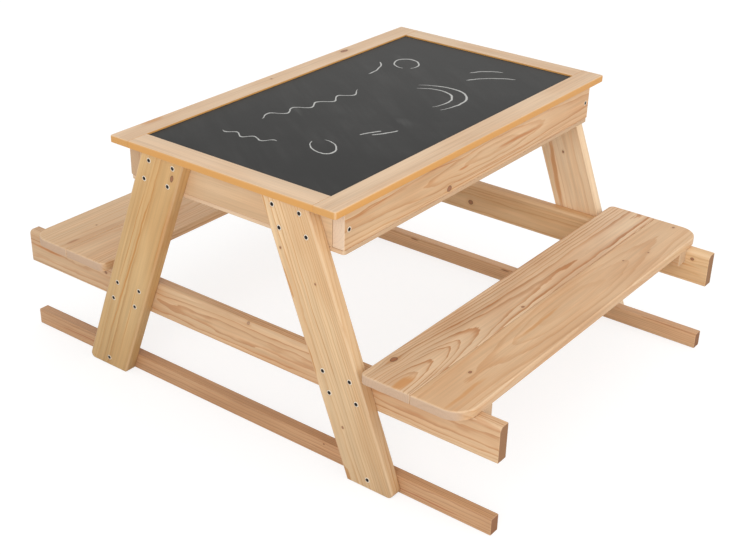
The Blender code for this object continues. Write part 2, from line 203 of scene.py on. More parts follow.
# Ramps of the screws and the chalkboard, and noises as (scale, detail, roughness)
GRIME_NOISE = (700.0, 3.0, 0.6)
GRIME_EDGE = (0.35, 0.65)
GRIME_ROUGH = (0.3, 0.7, 0.35, 0.55, "LINEAR")
RECESS_SHADE_EDGE = (0.0, 0.5)
RIM_HIGHLIGHT_EDGE = (0.55, 0.95)
CHALK_LINE_EDGE = (1.0, 0.45)
STROKE_TAPER = (1.0, 0.7)
STROKE_STOP = (1.02, 0.94)
LOOP_TAPER = (1.0, 0.6, 0.45, 1.0)
LOOP_STOP = (1.01, 0.97)
HAZE_NOISE = (7.0, 4.0, 0.6)
HAZE_EDGE = (0.3, 0.75)
HAZE_ROUGH = (0.3, 0.7, 0.58, 0.68, "LINEAR")
WIPE_EDGE = (0.3, 0.8, 0.4, 1.0)
SMUDGE_EDGE = (0.35, 0.7)
# Slope of the painted sheen towards the board's far left corner
FAR_CORNER_SHEEN = (-0.5, 0.5, 0.0, 0.55)
TOOTH_NOISE = (900.0, 2.0, 0.6)
TOOTH_EDGE = (0.3, 0.65, 0.6, 1.0)
CRUMB_NOISE = (620.0, 2.0, 0.7)
CRUMB_EDGE = (0.36, 0.56, 0.35, 1.0)

# Strength and depth of the bump of each material
PINE_BUMP = (0.25, 0.0006)
STEEL_BUMP = (0.2, 0.0002)
PAINT_BUMP = (0.15, 0.0003)

# Noise scales of the pine along the grain, across the board and through it
BEND_SCALE = (2.6, 8.0, 8.0)
RIPPLE_SCALE = (17.0, 70.0, 70.0)
RAGGED_SCALE = (9.0, 260.0, 260.0)
PATCH_SCALE = (4.0, 30.0, 30.0)
FIBRE_SCALE = (7.0, 420.0, 420.0)
STREAKY_SCALE = (3.0, 75.0, 75.0)
STRAND_SCALE = (5.0, 190.0, 190.0)
CLOUD_SCALE = (4.0, 12.0, 12.0)
DUCT_SCALE = (45.0, 1100.0, 1100.0)
SWAY_SCALE = (14.0, 0.0, 0.0)
FRAY_SCALE = (22.0, 330.0, 330.0)
RIPPLE_REACH = 0.0030


def linear(red, green, blue):
    """Return a colour given in screen values of 0 to 255 as Blender's linear one."""
    screen = np.array([red, green, blue]) / 255
    light = np.where(screen <= 0.04045, screen / 12.92, ((screen + 0.055) / 1.055) ** 2.4)
    return (*light.tolist(), 1.0)


# Node helpers


def feed(tree, socket, value):
    """Link an input to a wire or another node's output, or set it to a constant."""
    if isinstance(value, Wire):
        value = value.socket
    if isinstance(value, bpy.types.NodeSocket):
        tree.links.new(value, socket)
    else:
        socket.default_value = value


def node(tree, kind, inputs=None, **settings):
    """Add a node with its settings, and feed its named inputs."""
    made = tree.nodes.new("ShaderNode" + kind)
    for name, value in settings.items():
        setattr(made, name, value)
    for name, value in (inputs or {}).items():
        feed(tree, made.inputs[name], value)
    return made


def wire(tree, kind, inputs=None, output=0, **settings):
    """Add a node and return one of its outputs as a wire."""
    return Wire(tree, node(tree, kind, inputs, **settings).outputs[output])


class Wire:
    """A node's output. A sign between a wire and a value adds a Math node to its tree."""

    def __init__(self, tree, socket):
        self.tree = tree
        self.socket = socket

    def calc(self, operation, *others):
        """Return this value joined with others by a Math node."""
        made = node(self.tree, "Math", operation=operation)
        for socket, value in zip(made.inputs, (self, *others)):
            feed(self.tree, socket, value)
        return Wire(self.tree, made.outputs[0])

    def __add__(self, other):
        return self.calc("ADD", other)

    def __sub__(self, other):
        return self.calc("SUBTRACT", other)

    def __mul__(self, other):
        return self.calc("MULTIPLY", other)

    def __truediv__(self, other):
        return self.calc("DIVIDE", other)

    def ramp(self, low, high, new_low=0.0, new_high=1.0, kind="SMOOTHSTEP"):
        """Return this value carried from one range to another, clamped."""
        return wire(self.tree, "MapRange", {
            "Value": self, "From Min": low, "From Max": high,
            "To Min": new_low, "To Max": new_high}, interpolation_type=kind)

    def centred(self, reach):
        """Return a value of 0 to 1 moved to half the reach either side of zero."""
        return (self - 0.5) * reach

    def bell(self):
        """Return the bell curve of this value, e to the power of minus its square."""
        return (self * self * -1.0).calc("EXPONENT")

    def vector(self, operation, other=None, scale=None):
        """Return this vector joined with another, or scaled, by a Vector Math node."""
        made = node(self.tree, "VectorMath", operation=operation)
        feed(self.tree, made.inputs[0], self)
        if other is not None:
            feed(self.tree, made.inputs[1], other)
        if scale is not None:
            feed(self.tree, made.inputs["Scale"], scale)
        return Wire(self.tree, made.outputs["Value" if operation == "LENGTH" else "Vector"])

    def parts(self):
        """Return a vector's three parts."""
        made = node(self.tree, "SeparateXYZ", {"Vector": self})
        return [Wire(self.tree, socket) for socket in made.outputs]

    def noise(self, scale, detail=2.0, roughness=0.5, kind="3D"):
        """Return a noise of 0 to 1 at this point, or along this value in one dimension."""
        return wire(self.tree, "TexNoise", {
            "W" if kind == "1D" else "Vector": self, "Scale": scale, "Detail": detail,
            "Roughness": roughness}, noise_dimensions=kind)

    def stretched_noise(self, scales, detail=2.0, roughness=0.5):
        """Return a noise of 0 to 1 that has its own scale along each axis."""
        return self.vector("MULTIPLY", scales).noise(1.0, detail, roughness)

    def scatter(self, reach, scale=1.0, detail=2.0, roughness=0.5):
        """Return a vector of three noises, each half the reach either side of zero."""
        made = wire(self.tree, "TexNoise", {
            "Vector": self, "Scale": scale, "Detail": detail, "Roughness": roughness}, "Color")
        return made.vector("SUBTRACT", (0.5, 0.5, 0.5)).vector("SCALE", scale=reach)


def join(x, y, z):
    """Return a vector made of three parts, one of them a wire at least."""
    tree = next(part.tree for part in (x, y, z) if isinstance(part, Wire))
    return wire(tree, "CombineXYZ", {"X": x, "Y": y, "Z": z})


def mix(tree, share, first, second):
    """Return two colours mixed by a share."""
    made = node(tree, "Mix", data_type="RGBA")
    for index, value in ((0, share), (6, first), (7, second)):
        feed(tree, made.inputs[index], value)
    return Wire(tree, made.outputs[2])


def new_group(name, inputs, outputs):
    """Return an empty node group, its inputs as wires and its result's sockets.

    Inputs and outputs are listed with their kind: F a number, V a vector, C a colour.
    """
    tree = bpy.data.node_groups.new(name, "ShaderNodeTree")
    kinds = {"F": "NodeSocketFloat", "V": "NodeSocketVector", "C": "NodeSocketColor"}
    for way, listed in (("INPUT", inputs), ("OUTPUT", outputs)):
        for kind, label in (entry.split(" ", 1) for entry in listed.split(", ")):
            tree.interface.new_socket(label, in_out=way, socket_type=kinds[kind])
    entries = tree.nodes.new("NodeGroupInput").outputs
    source = {socket.name: Wire(tree, socket) for socket in entries}
    return tree, source, tree.nodes.new("NodeGroupOutput").inputs


def new_material(name):
    """Return a new material, its node tree and its shader."""
    material = bpy.data.materials.new(name)
    material.use_nodes = True
    tree = material.node_tree
    return material, tree, tree.nodes["Principled BSDF"]


def dress(tree, shader, colour, roughness, height, strength, distance):
    """Feed a shader its colour and roughness, and a bump from a height."""
    feed(tree, shader.inputs["Base Color"], colour)
    feed(tree, shader.inputs["Roughness"], roughness)
    bump = node(tree, "Bump", {"Height": height, "Strength": strength, "Distance": distance})
    feed(tree, shader.inputs["Normal"], bump.outputs[0])


def wear_and_light_of(tree):
    """Return the mesh's own mask of rubbing and painted light, 0 to 1."""
    return wire(tree, "Attribute", output="Fac", attribute_name="wear")


def knot_group():
    """A knot through a board: grain flows round it, and it has dark rings and a bark rim.

    The distance to the knot's axis is measured along the grain and across it, in knot
    radii. Near the axis the place across the grain is drawn in, by a bell curve of that
    distance, which spreads the lines round the knot.
    """
    wobble_scale, wobble_reach = 160.0, 0.5
    pull_long, pull_wide, pull_share = 3.4, 2.6, -0.75
    ring_count = 17.0
    tree, source, result = new_group(
        "pine knot",
        "V Point, V Grain, V Centre, F Size, F Stretch",
        "V Grain, F Core, F Rim, F Halo")
    x, y, _ = source["Point"].vector("SUBTRACT", source["Centre"]).parts()
    along = x / (source["Size"] * source["Stretch"])
    across = y / source["Size"]
    wobble = source["Point"].noise(wobble_scale).centred(wobble_reach)
    near = join(along, across, 0.0).vector("LENGTH") + wobble
    pull = join(along / pull_long, across / pull_wide, 0.0).vector("LENGTH").bell()
    drawn = join(0.0, y * pull * pull_share, 0.0)
    feed(tree, result["Grain"], source["Grain"].vector("ADD", drawn))
    rings = (near * ring_count).calc("SINE").ramp(*KNOT_RING_SHADE)
    feed(tree, result["Core"], near.ramp(*KNOT_CORE_EDGE) * rings)
    feed(tree, result["Rim"], near.ramp(*KNOT_RIM_INSIDE) * near.ramp(*KNOT_RIM_OUTSIDE))
    feed(tree, result["Halo"], near.ramp(*KNOT_HALO_EDGE))
    return tree


def streak_group():
    """A soft darker streak that runs with the grain, such as a resin vein or a flame's heart.

    The distance from its middle is divided by its half length and half width, and the
    edge is frayed by noise stretched along the grain.
    """
    fray_reach = 0.9
    tree, source, result = new_group(
        "pine streak",
        "V Point, V Centre, F Slope, F Half Length, F Half Width, F Wander",
        "F Mark")
    x, y, _ = source["Point"].vector("SUBTRACT", source["Centre"]).parts()
    sway = source["Point"].stretched_noise(SWAY_SCALE).centred(source["Wander"])
    line = x * source["Slope"] + sway
    across = (y - line) / source["Half Width"]
    away = join(x / source["Half Length"], across, 0.0).vector("LENGTH")
    away = away + source["Point"].stretched_noise(FRAY_SCALE).centred(fray_reach)
    feed(tree, result["Mark"], away.ramp(*STREAK_EDGE))
    return tree


def pine_group():
    """Planed pine: growth rings round a pith line, fibres, resin ducts and end grain.

    The distance from the pith line, bent a little by slow noise, divided by the ring
    width counts the rings. A swell brings the pith nearer the face over a stretch of
    the board by a bell curve, which draws flames and eyes. Each ring darkens slowly to
    its late wood and ends sharply.
    """
    uneven_scale, uneven_share, ragged_share = 60.0, 1.8, 0.2
    warm_share, duct_share, streak_share, halo_share, rim_share = 0.32, 0.3, 0.85, 0.3, 0.75
    end_dark, end_late_share, pore_scale = 0.62, 0.28, 700.0
    base_rough, late_rough, end_rough = 0.50, -0.07, 0.2
    late_height, fine_height = 0.6, 0.5
    seed_x, seed_y = 3.7, 1.3
    tree, source, result = new_group(
        "pine grain",
        ("V Point, V Face, V Pith, V Lean, V Swell, F Ring Width, F Waviness, F Contrast, "
         "F Seed, C Early, C Late, C End, C Side, F Side Share, F Wear, F Streak, F Core, "
         "F Rim, F Halo, F Fade, C Streak Colour"),
        "C Colour, F Roughness, F Height")
    seed = source["Seed"]
    seeded = source["Point"].vector("ADD", join(seed * seed_x, seed * seed_y, seed))

    bend = seeded.vector("MULTIPLY", BEND_SCALE).scatter(source["Waviness"], 1.0, 3.0, 0.55)
    ripple = seeded.vector("MULTIPLY", RIPPLE_SCALE).scatter(RIPPLE_REACH)
    x, y, z = source["Point"].vector("ADD", bend).vector("ADD", ripple).parts()
    _, pith_y, pith_z = source["Pith"].parts()
    _, lean_y, lean_z = source["Lean"].parts()
    swell_place, swell_reach, swell_height = source["Swell"].parts()
    swell = ((x - swell_place) / swell_reach).bell() * swell_height
    radius = join(y - pith_y - x * lean_y, z - pith_z - x * lean_z - swell, 0.0).vector("LENGTH")
    uneven = (radius + seed).noise(uneven_scale, kind="1D")
    count = radius / source["Ring Width"] + uneven * uneven_share
    count = count + seeded.stretched_noise(RAGGED_SCALE).centred(ragged_share)
    ring = count.calc("FRACT")
    line = ring.ramp(*LATE_RISE) * ring.ramp(*LATE_END)
    late = line.calc("MAXIMUM", ring.ramp(*SLOPE_RISE) * ring.ramp(*SLOPE_END))
    strength = wire(tree, "TexWhiteNoise", {"W": count.calc("FLOOR")}, noise_dimensions="1D")
    late = late * strength.ramp(*RING_STRENGTH)
    late = late * seeded.stretched_noise(PATCH_SCALE).ramp(*PATCH_STRENGTH)
    late = late * source["Contrast"]

    fibre = seeded.stretched_noise(FIBRE_SCALE, 3.0, 0.6)
    streaky = seeded.stretched_noise(STREAKY_SCALE, 3.0, 0.6)
    strand = seeded.stretched_noise(STRAND_SCALE, 2.0, 0.6)
    cloud = seeded.stretched_noise(CLOUD_SCALE)
    duct = seeded.stretched_noise(DUCT_SCALE, 1.0).ramp(*DUCT_EDGE) * late.ramp(*DUCT_IN_LATE)

    colour = mix(tree, late, source["Early"], source["Late"])
    warm = mix(tree, warm_share, colour, source["Late"])
    colour = mix(tree, cloud.ramp(*CLOUD_EDGE), colour, warm)
    tone = fibre.ramp(*TONE_SPREAD) + streaky.ramp(*TONE_SPREAD) + strand.ramp(*TONE_SPREAD)
    # Brightness slope along the grain: partly the wood's own tone, partly painted light falloff
    tone = tone + source["Point"].parts()[0] * source["Fade"]
    colour = colour.vector("SCALE", scale=tone + 1.0)
    for share, tint in (
            (duct * duct_share, linear(*RESIN_DUCT)),
            (source["Streak"] * streak_share, source["Streak Colour"]),
            (source["Halo"] * halo_share, linear(*KNOT_HALO)),
            (source["Core"], linear(*KNOT_CORE)),
            (source["Rim"] * rim_share, linear(*KNOT_RIM))):
        colour = mix(tree, share, colour, tint)

    end, side, _ = source["Face"].vector("ABSOLUTE").parts()
    # Painted shade: faces along a board's edges take its side colour, by how they face
    colour = mix(tree, side.ramp(*SHADED_SIDE_FACING) * source["Side Share"], colour, source["Side"])
    end = end.ramp(*END_FACING)
    pores = seeded.noise(pore_scale, 2.0, 0.6)
    dark_end = source["End"].vector("SCALE", scale=end_dark)
    end_grain = late * end_late_share + pores.ramp(*PORE_SHADE)
    colour = mix(tree, end, colour, mix(tree, end_grain, source["End"], dark_end))
    # Eased edges turn pale: partly rubbed wood, partly a painted highlight
    worn_and_highlit = source["Wear"] * streaky.ramp(*WEAR_AND_HIGHLIGHT_SHARE)
    feed(tree, result["Colour"], mix(tree, worn_and_highlit, colour, linear(*WORN_WOOD_AND_HIGHLIGHT)))

    rough = fibre.ramp(*ROUGH_SPREAD) + base_rough + late * late_rough + end * end_rough
    feed(tree, result["Roughness"], rough)
    height = late * late_height + fibre * fine_height - duct * fine_height
    feed(tree, result["Height"], height - source["Rim"] * fine_height)
    return tree


PINE_GRAIN = pine_group()
PINE_KNOT = knot_group()
PINE_STREAK = streak_group()


def pine(name, middle, along, face, early, late, pith=(0.01, -0.04), lean=(0.0, 0.0),
         swell=(0.0, 1.0, 0.0), ring=0.0045, wave=0.008, contrast=0.7, end=PLAIN_END,
         side=PLAIN_END, side_share=0.0, knots=(), streaks=(), fade=0.0, vein=RESIN_VEIN):
    """Return the pine of one board.

    The board's own frame starts at its middle: X along the grain, Z out of its best
    face and Y across. Pith, lean and swell say where the pith line runs in that frame.
    A knot is (x, y, size, stretch) and a streak (x, y, slope, half length, half width,
    wander).
    """
    material, tree, shader = new_material("pine of " + name)
    place = node(tree, "TexCoord")
    grain = Vector(along).normalized()
    best = Vector(face).normalized()
    turn = Matrix((grain, best.cross(grain), best)).transposed().to_euler("XYZ")
    point = wire(tree, "Mapping", {
        "Vector": place.outputs["Object"], "Location": middle, "Rotation": turn},
        vector_type="TEXTURE")
    facing = wire(tree, "Mapping", {
        "Vector": place.outputs["Normal"], "Rotation": turn}, vector_type="TEXTURE")
    flowed = point
    marks = {"Core": 0.0, "Rim": 0.0, "Halo": 0.0, "Streak": 0.0}
    for x, y, size, stretch in knots:
        knot = node(tree, "Group", {
            "Point": point, "Grain": flowed, "Centre": (x, y, 0), "Size": size,
            "Stretch": stretch}, node_tree=PINE_KNOT)
        flowed = knot.outputs["Grain"]
        for label in ("Core", "Rim", "Halo"):
            marks[label] = Wire(tree, knot.outputs[label]).calc("MAXIMUM", marks[label])
    for x, y, slope, half_length, half_width, wander in streaks:
        streak = wire(tree, "Group", {
            "Point": point, "Centre": (x, y, 0), "Slope": slope, "Half Length": half_length,
            "Half Width": half_width, "Wander": wander}, node_tree=PINE_STREAK)
        marks["Streak"] = streak.calc("MAXIMUM", marks["Streak"])
    letters = sum(ord(letter) * (index + 3) for index, letter in enumerate(name))
    board = node(tree, "Group", {
        "Point": flowed, "Face": facing, "Pith": (0, *pith), "Lean": (0, *lean),
        "Swell": swell, "Ring Width": ring, "Waviness": wave, "Contrast": contrast,
        "Seed": letters % 97 * 0.61, "Early": linear(*early), "Late": linear(*late),
        "End": linear(*end), "Side": linear(*side), "Side Share": side_share,
        "Wear": wear_and_light_of(tree), "Fade": fade, "Streak Colour": linear(*vein), **marks},
        node_tree=PINE_GRAIN)
    dress(tree, shader, board.outputs["Colour"], board.outputs["Roughness"],
          board.outputs["Height"], *PINE_BUMP)
    return material


# Shapes


def show(name, data):
    """Return a new object of some data, linked to the scene."""
    item = bpy.data.objects.new(name, data)
    bpy.context.scene.collection.objects.link(item)
    return item


def new_mesh(name, points, faces):
    """Return a mesh of points and faces."""
    mesh = bpy.data.meshes.new(name)
    mesh.from_pydata(points, [], faces)
    return mesh


def wear_light_and_mend(mesh, wear, mend):
    """Store a mask of rubbing and painted light on a mesh's points, then mend the mesh as a
    bmesh.
    """
    mesh.attributes.new("wear", "FLOAT", "POINT").data.foreach_set("value", wear.ravel())
    shape = bmesh.new()
    shape.from_mesh(mesh)
    mend(shape)
    shape.to_mesh(mesh)
    shape.free()
    return mesh


def outline_rings(corners, radii, insets):
    """Return rings of points inside an outline of straight edges and round corners.

    Each corner's arc is centred where the two edges, moved in by the inset and the
    arc's radius, cross. Its points swing from one edge's direction to the next one's.
    """
    corners = np.asarray(corners, float)
    edges = np.roll(corners, -1, 0) - corners
    edges /= np.linalg.norm(edges, axis=1)[:, None]
    after = np.stack([-edges[:, 1], edges[:, 0]], 1)
    before = np.roll(after, 1, 0)
    cosine = (before * after).sum(1)
    sine = before[:, 0] * after[:, 1] - before[:, 1] * after[:, 0]
    turn = np.arctan2(sine, cosine)
    side = np.sign(turn)
    inset_before = np.roll(insets, 1, 1)
    arc = np.maximum(radii - side * np.maximum(inset_before, insets), 0)
    reach_before = (inset_before + side * arc)[..., None]
    reach_after = (insets + side * arc)[..., None]
    cosine = cosine[:, None]
    centre = corners + (
        (reach_before - reach_after * cosine) * before
        + (reach_after - reach_before * cosine) * after) / (1 - cosine ** 2)
    share = np.linspace(0, 1, ARC_STEPS + 1)
    angle = np.arctan2(before[:, 1], before[:, 0])[:, None] + turn[:, None] * share
    spoke = -np.stack([np.cos(angle), np.sin(angle)], -1)
    points = centre[:, :, None] + (side * arc)[:, :, None, None] * spoke
    return points.reshape(len(insets), -1, 2)


def grid_faces(rows, columns):
    """Return the quads between rows of points that close on themselves."""
    row, column = np.meshgrid(np.arange(rows - 1), np.arange(columns), indexing="ij")
    here = row * columns + column
    beside = row * columns + (column + 1) % columns
    return np.stack([here, beside, beside + columns, here + columns], -1).reshape(-1, 4)


def tube_faces(rows, columns):
    """Return the faces of a tube of rings that is closed at both ends."""
    ring = np.arange(columns)
    last = ring + (rows - 1) * columns
    return [*grid_faces(rows, columns).tolist(), ring[::-1].tolist(), last.tolist()]


def slab_mesh(name, corners, radii, levels, eases, axes):
    """A closed slab: an outline carried from a low to a high level, all edges eased.

    The inset of the outline follows a quarter circle at either level, with its own
    radius along each edge of the outline, so a point's inset is the radius times one
    minus the cosine and its level the end less the radius times one minus the sine.
    """
    quarter = np.linspace(0, math.pi / 2, EASE_STEPS + 1)
    zero = np.zeros(1)
    rise = 1 - np.sin(quarter)
    inset = 1 - np.cos(quarter)
    low_ease, high_ease = (np.broadcast_to(ease, len(corners)) for ease in eases)
    inset_low = np.concatenate([zero + 1, inset[::-1]])[:, None] * low_ease
    inset_high = np.concatenate([inset, zero + 1])[:, None] * high_ease
    inset_low[0] += HOLDING_LOOP
    inset_high[-1] += HOLDING_LOOP
    insets = np.concatenate([inset_low, inset_high])
    radii = np.maximum(np.broadcast_to(radii, len(corners)), SMALLEST_CORNER)
    flat = outline_rings(corners, radii, insets)
    share = np.linspace(0, 1, ARC_STEPS + 1)[None]

    def along_arcs(ease):
        before = np.roll(ease, 1)[:, None]
        return (before + (ease[:, None] - before) * share).ravel()

    level_low = levels[0] + np.concatenate([zero, rise[::-1]])[:, None] * along_arcs(low_ease)
    level_high = levels[1] - np.concatenate([rise, zero])[:, None] * along_arcs(high_ease)
    level = np.concatenate([level_low, level_high])
    local = np.concatenate([flat, level[..., None]], -1)
    axes = np.asarray(axes, float)
    points = local @ axes
    rows, columns = points.shape[:2]
    order = -1 if np.linalg.det(axes) < 0 else 1
    faces = [face[::order] for face in tube_faces(rows, columns)]
    mesh = new_mesh(name, points.reshape(-1, 3), faces)
    # Mask that paints eased edges and small round corners pale, most at mid rounding: partly
    # rubbing, partly a painted highlight
    bulge = np.sin(2 * quarter)
    over_levels = np.concatenate([zero, bulge, bulge, zero])[:, None]
    eased = np.clip(np.stack([low_ease, high_ease]) / BOARD_EASE - WEAR_AND_HIGHLIGHT_FROM, 0, 1)
    along = np.stack([along_arcs(row) for row in eased])
    over_levels = over_levels * np.repeat(along, [rows // 2, rows - rows // 2], 0)
    worn_and_highlit = np.where((radii < WEAR_AND_HIGHLIGHT_CORNER_LIMIT) & (radii > BOARD_EASE), 1.0, 0.0)[:, None]
    over_arcs = (worn_and_highlit * np.sin(math.pi * share)).ravel()[None]
    wear = np.maximum(over_levels, over_arcs * np.ones((rows, 1)))
    wear[[0, -1]] = 0
    return wear_light_and_mend(mesh, wear, lambda shape: bmesh.ops.remove_doubles(
        shape, verts=shape.verts, dist=MERGE_REACH))


def spokes(outward, angle):
    """Return the directions at some angles round an outward one, which lies level."""
    side = np.cross(outward, (0, 0, 1.0))
    up = np.cross(outward, side)
    return np.cos(angle)[..., None] * side + np.sin(angle)[..., None] * up


def turned_mesh(name, profile, places, outward, steps):
    """Shapes turned round an axis, one at each place.

    A profile of (radius, height) points is carried round a circle. The heights run
    along the outward direction, and both ends of the profile are closed.
    """
    profile = np.asarray(profile, float)
    outward = np.asarray(outward, float)
    around = spokes(outward, np.arange(steps) * 2 * math.pi / steps)
    points = profile[:, 0, None, None] * around + profile[:, 1, None, None] * outward
    all_points = (np.asarray(places, float)[:, None, None] + points).reshape(-1, 3)
    faces = [[corner + index * len(profile) * steps for corner in face]
             for index in range(len(places)) for face in tube_faces(len(profile), steps)]
    return new_mesh(name, all_points, faces)


def finish_piece(name, mesh, material, body, nodes):
    """Put a mesh into the scene as a smooth piece that rides on its body."""
    mesh.polygons.foreach_set("use_smooth", np.ones(len(mesh.polygons), bool))
    mesh.set_sharp_from_angle(angle=SHARP_ANGLE)
    mesh.materials.clear()
    mesh.materials.append(material)
    piece = show(name, mesh)
    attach(piece, body)
    if nodes:
        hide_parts(*nodes)


def cut_away(mesh, cutter_mesh):
    """Return a mesh less the volume of a cutter."""
    blank = show("blank", mesh)
    cutter = show("cutter", cutter_mesh)
    cut = blank.modifiers.new("cut", "BOOLEAN")
    cut.operation = "DIFFERENCE"
    cut.solver = "EXACT"
    cut.object = cutter
    bpy.context.view_layer.update()
    result = bpy.data.meshes.new_from_object(
        blank.evaluated_get(bpy.context.evaluated_depsgraph_get()))
    bpy.data.objects.remove(blank)
    bpy.data.objects.remove(cutter)
    return result


def rectangle(low, high):
    """Return the corners of a rectangle, anticlockwise."""
    return [(low[0], low[1]), (high[0], low[1]), (high[0], high[1]), (low[0], high[1])]


def hole_cutter(places, outward):
    """Return countersunk hole cutters whose mouths are at the given places."""
    return turned_mesh("holes", HOLE_PROFILE, places, outward, HOLE_STEPS)


def build_bar(node_name, body, ease=BOARD_EASE, top_ease=None):
    """A straight bar along X on a node's box, with its top edge at low Y rounder if asked."""
    low, high = corners_of(node_name)
    long_eases = np.full(4, ease)
    long_eases[3] = top_ease or ease
    mesh = slab_mesh(node_name, rectangle(low[1:], high[1:]), long_eases, (low[0], high[0]),
                     (ease, ease), [Y_AXIS, Z_AXIS, X_AXIS])
    finish_board(node_name, mesh, body)


def build_lid_rail(node_name, joints, round_corners):
    """One rail of the lid: its edges at joints stay sharp, and the panel's room is cut out."""
    low, high = corners_of(node_name)
    panel_low, panel_high = corners_of("chalkboard")
    ease = np.full(4, LID_EASE)
    ease[joints] = JOINT_EASE
    radii = np.full(4, SMALLEST_CORNER)
    radii[round_corners] = LID_CORNER_RADIUS
    mesh = slab_mesh(node_name, rectangle(low, high), radii, (low[2], high[2]),
                     (np.minimum(ease, BOARD_EASE), ease), np.eye(3))
    mesh = cut_away(mesh, pocket_mesh(panel_low - POCKET_GAP, panel_high + POCKET_GAP))
    finish_board(node_name, mesh, "lid")


def build_lid():
    """The lid's four rails and two battens, with edges and corners counted anticlockwise."""
    build_lid_rail("lid_side_rail_left", [1], [0, 3])
    build_lid_rail("lid_side_rail_right", [3], [1, 2])
    for end, joints in (("near", [1, 2, 3]), ("far", [0, 1, 3])):
        build_lid_rail("lid_end_rail_" + end, joints, [])
        build_bar("lid_batten_" + end, "lid")


def pocket_mesh(low, high):
    """Return the box that makes room for the panel, open below."""
    low = np.array([low[0], low[1], low[2] - POCKET_DEPTH])
    corner = np.array([[x, y, z] for z in (low[2], high[2]) for x, y in rectangle(low, high)])
    return new_mesh("pocket", corner, [
        (3, 2, 1, 0), (4, 5, 6, 7), (0, 1, 5, 4), (1, 2, 6, 5), (2, 3, 7, 6), (3, 0, 4, 7)])


def finish_board(node_name, mesh, body):
    """Give a board its own pine and put it in the place of its CAD node."""
    spec = BOARDS[node_name]
    low, high = corners_of(node_name)
    material = pine(node_name, tuple((low + high) / 2), **spec)
    finish_piece("pine_" + node_name, mesh, material, body, [node_name])


def tray_hole_places(side):
    """Return the mouths of the two holes in a tray side, near one first."""
    low, high = corners_of("tray_side_" + side)
    level = (low[2] + high[2]) / 2
    face = high[0] if side == "right" else low[0]
    ends = (low[1] + TRAY_SCREW_INSET, high[1] - TRAY_SCREW_INSET)
    return np.array([(face, along, level) for along in ends])


def build_tray():
    """The four aprons and the thin floor of the tray."""
    for side, sign in SIDES:
        node_name = "tray_side_" + side
        low, high = corners_of(node_name)
        mesh = slab_mesh(node_name, rectangle(low[1:], high[1:]), TRAY_SIDE_CORNER,
                         (low[0], high[0]) if sign > 0 else (-high[0], -low[0]),
                         (BOARD_EASE, BOARD_EASE), [Y_AXIS, Z_AXIS, (sign, 0, 0)])
        mesh = cut_away(mesh, hole_cutter(tray_hole_places(side), (sign, 0, 0)))
        finish_board(node_name, mesh, "frame")
    for end, _ in ENDS:
        build_bar("tray_end_" + end, "frame", JOINT_EASE)
    low, high = corners_of("tray_floor")
    mesh = slab_mesh("tray_floor", rectangle(low, high), TRAY_FLOOR_CORNER, (low[2], high[2]),
                     (TRAY_FLOOR_EASE, TRAY_FLOOR_EASE), np.eye(3))
    finish_board("tray_floor", mesh, "frame")


def leg_hole_places(end, side):
    """Return the mouths of a leg's holes: eight at the CAD screws, the last over the rail.

    The last one lies on the leg's centre line at the middle of the ground rail's height.
    """
    places = []
    for number in range(1, CAD_LEG_SCREWS + 1):
        low, high = corners_of("screw_%s_%s_%d" % (end, side, number))
        places.append((low + high) / 2)
    low, high = corners_of("leg_%s_%s" % (end, side))
    level = corners_of("ground_rail_" + end)[1][2] * GROUND_SCREW_LEVEL
    lean = LEG_SPLAY * (0.5 - level / high[2])
    sign = 1 if side == "right" else -1
    centre = (low[0] + high[0] + sign * TOE_REACH) / 2 + sign * lean
    places.append((centre, 0, level))
    places = np.array(places)
    places[:, 1] = low[1] if end == "near" else high[1]
    return places


def build_legs():
    """Four splayed planks with well rounded long edges and a round toe."""
    for end, end_sign in ENDS:
        for side, side_sign in SIDES:
            node_name = "leg_%s_%s" % (end, side)
            low, high = corners_of(node_name)
            inside, outside = (low[0], high[0]) if side_sign > 0 else (-high[0], -low[0])
            outside += TOE_REACH
            right = [(inside + LEG_SPLAY, low[2]), (outside, low[2]),
                     (outside - LEG_SPLAY, high[2]), (inside, high[2])]
            mirrored = [(-right[index][0], right[index][1]) for index in (1, 0, 3, 2)]
            corners, toe = (right, 1) if side_sign > 0 else (mirrored, 0)
            radii = np.full(4, LEG_CORNER_RADIUS)
            radii[toe] = LEG_TOE_RADIUS
            outer_ease = np.array([BOARD_EASE, LEG_LONG_EASE, BOARD_EASE, LEG_LONG_EASE])
            levels = (-high[1], -low[1]) if end_sign < 0 else (low[1], high[1])
            mesh = slab_mesh(node_name, corners, radii, levels, (BOARD_EASE, outer_ease),
                             [X_AXIS, Z_AXIS, (0, end_sign, 0)])
            mesh = cut_away(mesh, hole_cutter(leg_hole_places(end, side), (0, end_sign, 0)))
            finish_board(node_name, mesh, "frame")


def build_cross_rails():
    """Seat beams, both with a rounded top edge towards the near end, and the ground rails."""
    for end, _ in ENDS:
        build_bar("seat_beam_" + end, "frame", top_ease=BEAM_TOP_EASE)
        build_bar("ground_rail_" + end, "frame")


def build_benches():
    """Two boards a bench, with round corners at its open edges, on battens by the beams."""
    for side, sign in SIDES:
        for row in ("inner", "outer"):
            node_name = "seat_%s_board_%s" % (side, row)
            low, high = corners_of(node_name)
            round_radius = SEAT_INNER_RADIUS if row == "inner" else SEAT_OUTER_RADIUS
            at_low_x = (sign > 0) == (row == "inner")
            radii = np.full(4, SEAT_CORNER_RADIUS)
            radii[[0, 3] if at_low_x else [1, 2]] = round_radius
            top_ease = np.full(4, SEAT_TOP_EASE)
            top_ease[1 if at_low_x else 3] = SEAT_SEAM_EASE
            mesh = slab_mesh(node_name, rectangle(low, high), radii, (low[2], high[2]),
                             (BOARD_EASE, top_ease), np.eye(3))
            finish_board(node_name, mesh, "frame")
        for end, _ in ENDS:
            build_bar("seat_batten_%s_%s" % (end, side), "frame")


